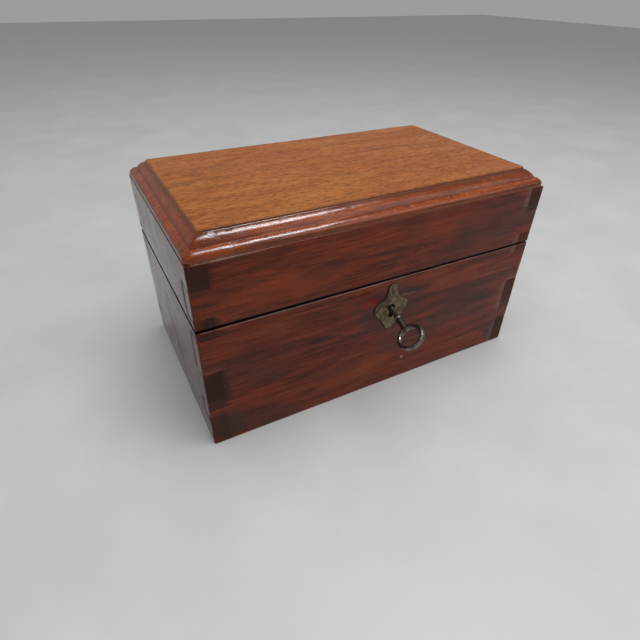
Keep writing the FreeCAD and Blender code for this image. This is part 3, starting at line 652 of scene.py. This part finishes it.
def arc_points(start, through, end, count):
    """count points along the arc through three section points, without the first."""
    a, b, c = (Vector((*point, 0)) for point in (start, through, end))
    turn = 2 * ((b - a).cross(c - b)).z
    mid = ((b - a).length_squared * (c - a).y - (c - a).length_squared * (b - a).y,
           (c - a).length_squared * (b - a).x - (b - a).length_squared * (c - a).x)
    centre = a + Vector((mid[0], mid[1], 0)) / turn
    radius = (a - centre).length
    first = math.atan2(*(a - centre).yx)
    sweep = (math.atan2(*(c - centre).yx) - first + math.pi) % (2 * math.pi) - math.pi
    return [(centre.x + radius * math.cos(first + sweep * step / count),
             centre.y + radius * math.sin(first + sweep * step / count))
            for step in range(1, count + 1)]


def moulding_section():
    """(inward, up) in millimetres from the outside of the seam to the flat panel."""
    points = [(0.3, 0.0), (0.3, 0.5), (0.3, 1.2)]
    points += arc_points((0.3, 1.2), (0.66, 2.5), (1.5, 3.5), 8)
    points += [(1.85, 3.76), (2.2, 3.98), (2.55, 4.16), (2.9, 4.3), (3.3, 4.42), (3.8, 4.46), (4.3, 4.48)]
    points += arc_points((4.3, 4.48), (6.1, 6.98), (8.85, 8.6), 14)
    points += [(8.95, 8.7), (9.02, 9.0), (9.1, 9.3), (9.22, 9.5), (9.4, 9.64), (9.65, 9.7)]
    return points


CORNERS = ((1, -1), (1, 1), (-1, 1), (-1, -1))
CORNER_STEPS = 6
MOULDING_WIDTH = 9.1 * MM
RUN_STEP = 1.6 * MM
PANEL_UP = 9.65              # millimetres above the seam: from here on the surface is the panel's
PANEL_RINGS = (10.6, 12.0, 15, 20, 27, 36, 46, 55, 59.5)
SAG, SOFTNESS, HOLLOW = 0.14 * MM, 0.08 * MM, 0.05 * MM


def plan_loop(inward, corner):
    """Points round a rectangle drawn in by inward, with rounded corners: the same count for any inset."""
    half_x = HALF_W - inward
    half_y = HALF_D - inward
    points = []
    for turn, (sign_x, sign_y) in enumerate(CORNERS):
        centre = Vector((sign_x * (half_x - corner), sign_y * (half_y - corner)))
        start = math.radians(-90 + 90 * turn)
        for step in range(CORNER_STEPS + 1):
            angle = start + math.radians(90) * step / CORNER_STEPS
            points.append(centre + Vector((math.cos(angle), math.sin(angle))) * corner)
        next_x, next_y = CORNERS[(turn + 1) % 4]
        end = Vector((next_x * (half_x - corner), next_y * (half_y - corner)))
        start_point = points[-1]
        end_point = end + Vector((math.cos(start + math.pi / 2), math.sin(start + math.pi / 2))) * corner
        length = 2 * (HALF_D if turn % 2 == 0 else HALF_W)
        count = round(length / RUN_STEP)
        points += [start_point.lerp(end_point, step / count) for step in range(1, count)]
    return points


KNOCK = 0.14 * MM


def knock_depth(place):
    """How far the nicks' middles are pressed in."""
    depth = 0.0
    across = place.x / MM
    in_from_front = (place.y + HALF_D) / MM
    for x, inward, half_x, half_y in MOULDING_NICKS:
        away = math.hypot((across - x) / (1.6 * half_x), (in_from_front - inward) / (2 * half_y))
        if away < 1:
            depth += KNOCK * (1 - away * away) ** 2
    return depth


def bridge(mesh, lower, upper):
    """A band of faces between two rings of the same count."""
    for index in range(len(lower)):
        after = (index + 1) % len(lower)
        mesh.faces.new((lower[index], lower[after], upper[after], upper[index]))


def panel_polish():
    return top_wood("top_panel_polish", True, srgb(181, 114, 56), srgb(166, 97, 44),
                    srgb(140, 78, 33), srgb(164, 86, 33), (0.30, 0.44), 0.16, 0.0)


def moulding_polish():
    return top_wood("moulding_polish", False, srgb(164, 78, 24), srgb(142, 60, 16),
                    srgb(98, 40, 10), srgb(150, 56, 14), (0.16, 0.27), 0.3, 0.22)


def top_board():
    rings = []
    mesh = bmesh.new()
    for inward, up in moulding_section():
        corner = max(1.3, 3.4 - 0.55 * inward) if inward < 5 else 1.3 + 0.1 * (inward - 5)
        ring = []
        for point in plan_loop(inward * MM, corner * MM):
            place = Vector((point.x, point.y, SEAM_Z + up * MM))
            sag = SAG * noise.noise(Vector((point.x, point.y, inward * MM)) * 45.0)
            softness = SOFTNESS * noise.noise(Vector((point.x, point.y, 0)) * 160.0)
            if up < PANEL_UP:
                place.z -= (sag + softness + knock_depth(place)) * min(1.0, up / 2.0)
            place.z = min(place.z, TOP_Z)
            ring.append(mesh.verts.new(place))
        rings.append(ring)
    for inward in PANEL_RINGS:
        ring = []
        for point in plan_loop(inward * MM, 1.2 * MM if inward < 50 else 0.6 * MM):
            hollow = HOLLOW * (noise.noise(Vector((point.x, point.y, 0)) * 30.0) - 0.6)
            ring.append(mesh.verts.new(Vector((point.x, point.y, TOP_Z + min(0.0, hollow)))))
        rings.append(ring)
    for lower, upper in zip(rings, rings[1:]):
        bridge(mesh, lower, upper)
    mesh.faces.new(rings[-1])
    mesh.faces.new(list(reversed(rings[0])))
    for face in mesh.faces:
        middle = face.calc_center_median()
        inward = min(HALF_W - abs(middle.x), HALF_D - abs(middle.y))
        face.material_index = 1 if inward < MOULDING_WIDTH else 0
    made = to_object("moulded_top", mesh, [panel_polish(), moulding_polish()], 50.0)
    for vertex in made.data.vertices:
        vertex.co.y -= proud_of_carcass(vertex.co)
    stand_for(made, "lid", "top_mahogany", "lid_top_board")


# ---- lathe, key, escutcheon ----------------------------------------------------------------

def lathe(profile, segments=32):
    """Closed solid of revolution about Z. profile is (height, radius); its ends close on the axis."""
    mesh = bmesh.new()
    rings = []
    for height, radius in profile:
        rings.append([mesh.verts.new((radius * math.cos(2 * math.pi * step / segments),
                                      radius * math.sin(2 * math.pi * step / segments), height))
                      for step in range(segments)])
    for lower, upper in zip(rings, rings[1:]):
        bridge(mesh, lower, upper)
    mesh.faces.new(list(reversed(rings[0])))
    mesh.faces.new(rings[-1])
    return mesh


def hoop(ring_radius, thick, wide, around=72, across=18):
    """The key's bow: a flattened wire ring in the XZ plane, filed thinner far from the shank."""
    mesh = bmesh.new()
    rings = []
    for step in range(around):
        angle = 2 * math.pi * step / around
        out = Vector((math.cos(angle), 0, math.sin(angle)))
        fuller = 1.0 + 0.1 * max(0.0, -out.z) ** 3 + 0.03 * math.sin(3 * angle + 0.7)
        ring = []
        for part in range(across):
            turn = 2 * math.pi * part / across
            offset = out * (math.cos(turn) * thick * fuller) + Vector((0, math.sin(turn) * wide, 0))
            ring.append(mesh.verts.new(out * ring_radius + offset))
        rings.append(ring)
    for step in range(around):
        bridge(mesh, rings[step], rings[(step + 1) % around])
    return mesh


def blunt_box(low, high, bevel):
    mesh = bmesh.new()
    bmesh.ops.create_cube(mesh, size=1.0)
    for vertex in mesh.verts:
        for axis in range(3):
            vertex.co[axis] = low[axis] if vertex.co[axis] < 0 else high[axis]
    bmesh.ops.bevel(mesh, geom=mesh.edges[:], offset=bevel, segments=2, affect="EDGES")
    return mesh


def union(name, meshes, materials):
    """Joins closed meshes into one skin."""
    parts = [to_object(name + str(index), mesh, materials) for index, mesh in enumerate(meshes)]
    whole = parts[0]
    for part in parts[1:]:
        joiner = whole.modifiers.new("join", "BOOLEAN")
        joiner.operation = "UNION"
        joiner.solver = "EXACT"
        joiner.object = part
    bpy.context.view_layer.update()
    evaluated = whole.evaluated_get(bpy.context.evaluated_depsgraph_get())
    data = bpy.data.meshes.new_from_object(evaluated)
    for part in parts:
        bpy.data.objects.remove(part)
    for polygon in data.polygons:
        polygon.use_smooth = True
    data.set_sharp_from_angle(angle=math.radians(40))
    made = bpy.data.objects.new(name, data)
    bpy.context.scene.collection.objects.link(made)
    return made


KEY_TURNED = math.radians(48.0)
BOW_CENTRE = 26.6 * MM       # out from the pivot along the shank
BOW_RADIUS = 6.4 * MM
BOW_THICK, BOW_WIDE = 1.22 * MM, 1.38 * MM
# Out from the pivot and radius, in millimetres.
SHANK = ((-6.9, 0.9), (-6.6, 1.38), (-6.2, 1.48), (2.0, 1.5), (9.0, 1.5), (9.7, 1.56), (10.1, 1.8),
         (10.4, 2.1), (10.8, 2.2), (11.2, 2.17), (11.5, 2.0), (11.75, 1.78), (12.1, 1.66),
         (12.6, 1.76), (13.6, 1.78), (15.0, 1.7), (17.0, 1.58), (18.8, 1.5), (19.8, 1.35),
         (20.4, 0.5))
BIT_LOW = Vector((0.2, -0.8, -6.1)) * MM
BIT_HIGH = Vector((5.6, 0.8, -4.1)) * MM
BIT_BEVEL = 0.15 * MM


def key_axes():
    """Matrix from the key's own axes (bit +X, shank +Z outwards) to the frame."""
    inward = Vector(KEY_JOINT["axis"]).normalized()
    outward = -inward
    down = Vector((0, 0, -1))
    square = (down - outward * down.dot(outward)).normalized()
    bit_way = Matrix.Rotation(KEY_TURNED, 3, inward) @ square
    across = outward.cross(bit_way)
    axes = Matrix((bit_way, across, outward)).transposed().to_4x4()
    return Matrix.Translation(KEY_PIVOT) @ axes


def door_key():
    steel = metal("worn_steel", srgb(140, 138, 130), srgb(88, 84, 76), srgb(60, 48, 40), 500.0,
                  (0.26, 0.5), (0.36, 0.62))
    shank = lathe([(height * MM, radius * MM) for height, radius in SHANK])
    bow = hoop(BOW_RADIUS, BOW_THICK, BOW_WIDE)
    bmesh.ops.translate(bow, verts=bow.verts, vec=Vector((0, 0, BOW_CENTRE)))
    bit = blunt_box(BIT_LOW, BIT_HIGH, BIT_BEVEL)
    made = union("lock_key", [shank, bow, bit], [steel])
    made.data.transform(key_axes())
    stand_for(made, "key", "steel", "key")


# The right half of the outline, in millimetres about the keyhole.
ESCUTCHEON_HALF = ((0.0, 15.2), (1.9, 14.5), (2.8, 12.8), (3.0, 10.4), (3.9, 7.8), (6.0, 5.3),
                   (8.2, 4.4), (10.0, 3.0), (10.7, 0.4), (9.4, -2.8), (7.6, -5.0), (5.6, -7.4),
                   (3.8, -10.7), (2.0, -13.3), (0.0, -14.4))


def closed_spline(curve, points, smooth):
    spline = curve.splines.new("BEZIER")
    spline.bezier_points.add(len(points) - 1)
    for point, (u, v) in zip(spline.bezier_points, points):
        point.co = (u * MM, v * MM, 0)
        point.handle_left_type = point.handle_right_type = "AUTO" if smooth else "VECTOR"
    spline.use_cyclic_u = True
    spline.resolution_u = 8


PLATE_BEVEL = 0.14 * MM
HOLE_RADIUS = 2.25
SLOT_HALF = 1.15
SLOT_END = -6.5
HOLE_STEPS = 14


def keyhole_outline():
    """Round hole over a slot, in millimetres about the hole's centre."""
    start = math.asin(SLOT_HALF / HOLE_RADIUS)
    points = [(-SLOT_HALF, SLOT_END), (SLOT_HALF, SLOT_END)]
    for step in range(HOLE_STEPS + 1):
        angle = -math.pi / 2 + start + (2 * math.pi - 2 * start) * step / HOLE_STEPS
        points.append((HOLE_RADIUS * math.cos(angle), HOLE_RADIUS * math.sin(angle)))
    return points


def flat_plate(name, outline, hole, thick, bevel, materials):
    curve = bpy.data.curves.new(name, "CURVE")
    curve.dimensions = "2D"
    curve.fill_mode = "BOTH"
    curve.extrude = thick / 2 - bevel
    curve.bevel_depth = bevel
    curve.bevel_resolution = 2
    curve.offset = -bevel
    closed_spline(curve, outline, True)
    closed_spline(curve, hole, False)
    holder = bpy.data.objects.new(name, curve)
    bpy.context.scene.collection.objects.link(holder)
    bpy.context.view_layer.update()
    data = bpy.data.meshes.new_from_object(holder.evaluated_get(bpy.context.evaluated_depsgraph_get()))
    bpy.data.objects.remove(holder)
    mesh = bmesh.new()
    mesh.from_mesh(data)
    bmesh.ops.remove_doubles(mesh, verts=mesh.verts, dist=0.01 * MM)
    return to_object(name, mesh, materials)


def lock_plate(brass):
    right = list(ESCUTCHEON_HALF)
    left = [(-u, v) for u, v in reversed(ESCUTCHEON_HALF[1:-1])]
    thick = ESCUTCHEON_HIGH.y - ESCUTCHEON_LOW.y
    made = flat_plate("escutcheon_plate", right + left, keyhole_outline(), thick, PLATE_BEVEL, [brass])
    stand_up = Matrix.Rotation(math.radians(90), 4, "X")
    middle = (ESCUTCHEON_LOW.y + ESCUTCHEON_HIGH.y) / 2
    made.data.transform(Matrix.Translation((LOCK_X, middle, KEYHOLE_Z)) @ stand_up)
    stand_for(made, "caddy_body", "old_brass", "escutcheon")


# ---- lining panel --------------------------------------------------------------------------

LINING_COLUMNS, LINING_ROWS = 62, 36
LINING_TURN = 3.5 * MM       # how soon the pad reaches its full thickness in from the edge


def lining():
    """A thin padded panel under the lid: crowned, with its edge turned over a card."""
    low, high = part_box("lid_lining_panel")
    mesh = bmesh.new()
    columns, rows = LINING_COLUMNS, LINING_ROWS
    skin = []
    for row in range(rows + 1):
        line = []
        for column in range(columns + 1):
            u = column / columns
            v = row / rows
            edge = min(u, 1 - u) * (high.x - low.x), min(v, 1 - v) * (high.y - low.y)
            rise = 1 - math.exp(-min(edge) / LINING_TURN)
            place = Vector((low.x + u * (high.x - low.x), low.y + v * (high.y - low.y), 0))
            pucker = 0.12 * noise.noise(place * 70.0) + 0.06 * noise.noise(place * 260.0)
            place.z = high.z - (high.z - low.z) * (0.3 + 0.58 * rise + pucker * rise)
            line.append(mesh.verts.new(place))
        skin.append(line)
    for row in range(rows):
        for column in range(columns):
            mesh.faces.new((skin[row][column], skin[row + 1][column], skin[row + 1][column + 1],
                            skin[row][column + 1]))
    rim = [edge for edge in mesh.edges if len(edge.link_faces) == 1]
    lifted = bmesh.ops.extrude_edge_only(mesh, edges=rim)["geom"]
    for item in lifted:
        if isinstance(item, bmesh.types.BMVert):
            item.co.z = high.z
    loop = [item for item in lifted if isinstance(item, bmesh.types.BMEdge)]
    bmesh.ops.contextual_create(mesh, geom=loop)
    made = to_object("lid_lining", mesh, [velvet()])
    stand_for(made, "lid", "lining_cloth", "lid_lining_panel")


# ---- build ---------------------------------------------------------------------------------

def paint(nodes, material):
    for node in nodes:
        slots = frame["nodes"][node].data.materials
        slots.clear()
        slots.append(material)


add_camera()
add_world(colour=(0.96, 0.93, 0.89), strength=0.36)
add_softbox("window", place=(0.21, -0.13, 0.90), aim=(-0.05, 0, 0.1), size=(0.24, 0.30),
            power=5.4, colour=(0.88, 0.95, 1.0), diffuse=False)
add_softbox("overhead", place=(0.05, -0.10, 1.1), aim=(0, 0, 0.0), size=(0.9, 0.9),
            power=8.2, colour=(1.0, 0.99, 0.98), gloss=False)
add_softbox("front_right", place=(0.6, -0.75, 0.75), aim=(0, 0, 0.05), size=(0.7, 0.7),
            power=2.2, colour=(1.0, 0.97, 0.93))

FLOOR_HALF = 3.0
floor_mesh = bmesh.new()
bmesh.ops.create_grid(floor_mesh, x_segments=8, y_segments=8, size=FLOOR_HALF)
floor = to_object("floor", floor_mesh, [paint_floor()])

DIRT = seam_dirt()
LONG_POLISH = front_and_back_wood()
SIDE_POLISH = side_wood()
for index, side in enumerate(("front", "back", "left", "right")):
    polish = LONG_POLISH if side in ("front", "back") else SIDE_POLISH
    carcass_board("body_" + side + "_board", "caddy_body", polish, 0.0, RIM_Z, 11 + index)
    carcass_board("lid_" + side + "_board", "lid", polish, LID_Z, SEAM_Z, 31 + index)
top_board()
door_key()
escutcheon_brass = metal("tarnished_brass", srgb(128, 114, 92), srgb(94, 84, 64), srgb(62, 50, 40),
                         330.0, (0.42, 0.66), (0.36, 0.64))
lock_plate(escutcheon_brass)
lining()

LINER_TONES = (srgb(150, 96, 62), srgb(128, 78, 48), srgb(90, 52, 32), srgb(140, 76, 44),
               srgb(84, 50, 32))
liner_wood = wood("liner_wax", 0, *LINER_TONES, polish=0.45, gloss=0.2)
side_liner_wood = wood("side_liner_wax", 1, *LINER_TONES, polish=0.45, gloss=0.2)
base_wood = wood("base_bare", 0, srgb(190, 150, 104), srgb(170, 130, 86), srgb(120, 84, 54),
                 srgb(160, 112, 70), srgb(120, 88, 58), polish=0.6, gloss=0.15)
knob_wood = wood("knob_wax", 2, srgb(206, 170, 116), srgb(188, 148, 96), srgb(140, 100, 60),
                 srgb(180, 130, 80), srgb(150, 112, 70), polish=0.3, gloss=0.4)
brass = metal("lock_brass_worn", srgb(178, 150, 92), srgb(148, 120, 70), srgb(104, 82, 50), 260.0)
screw_steel = metal("screw_steel", srgb(150, 146, 138), srgb(104, 98, 90), srgb(60, 48, 40), 700.0)

paint(["front_liner", "back_liner", "left_inner_lid", "right_inner_lid"], liner_wood)
paint(["left_liner", "right_liner", "centre_divider"], side_liner_wood)
paint(["bottom_board"], base_wood)
paint(["left_inner_knob", "right_inner_knob"], knob_wood)
paint(["left_foil_lining", "right_foil_lining"], foil())
paint(["lock_case", "lock_back_plate", "lock_cap_plate", "strike_plate", "left_hinge_body_leaf",
       "left_hinge_lid_leaf", "right_hinge_body_leaf", "right_hinge_lid_leaf"], brass)
paint(["lock_bolt", "bolt_spring", "lock_screws", "hinge_body_screws", "hinge_lid_screws",
       "strike_plate_screws", "left_hinge_pin", "right_hinge_pin", "bottom_brads"], screw_steel)
paint(["escutcheon_pins"], escutcheon_brass)

bpy.context.scene.view_settings.view_transform = "Standard"
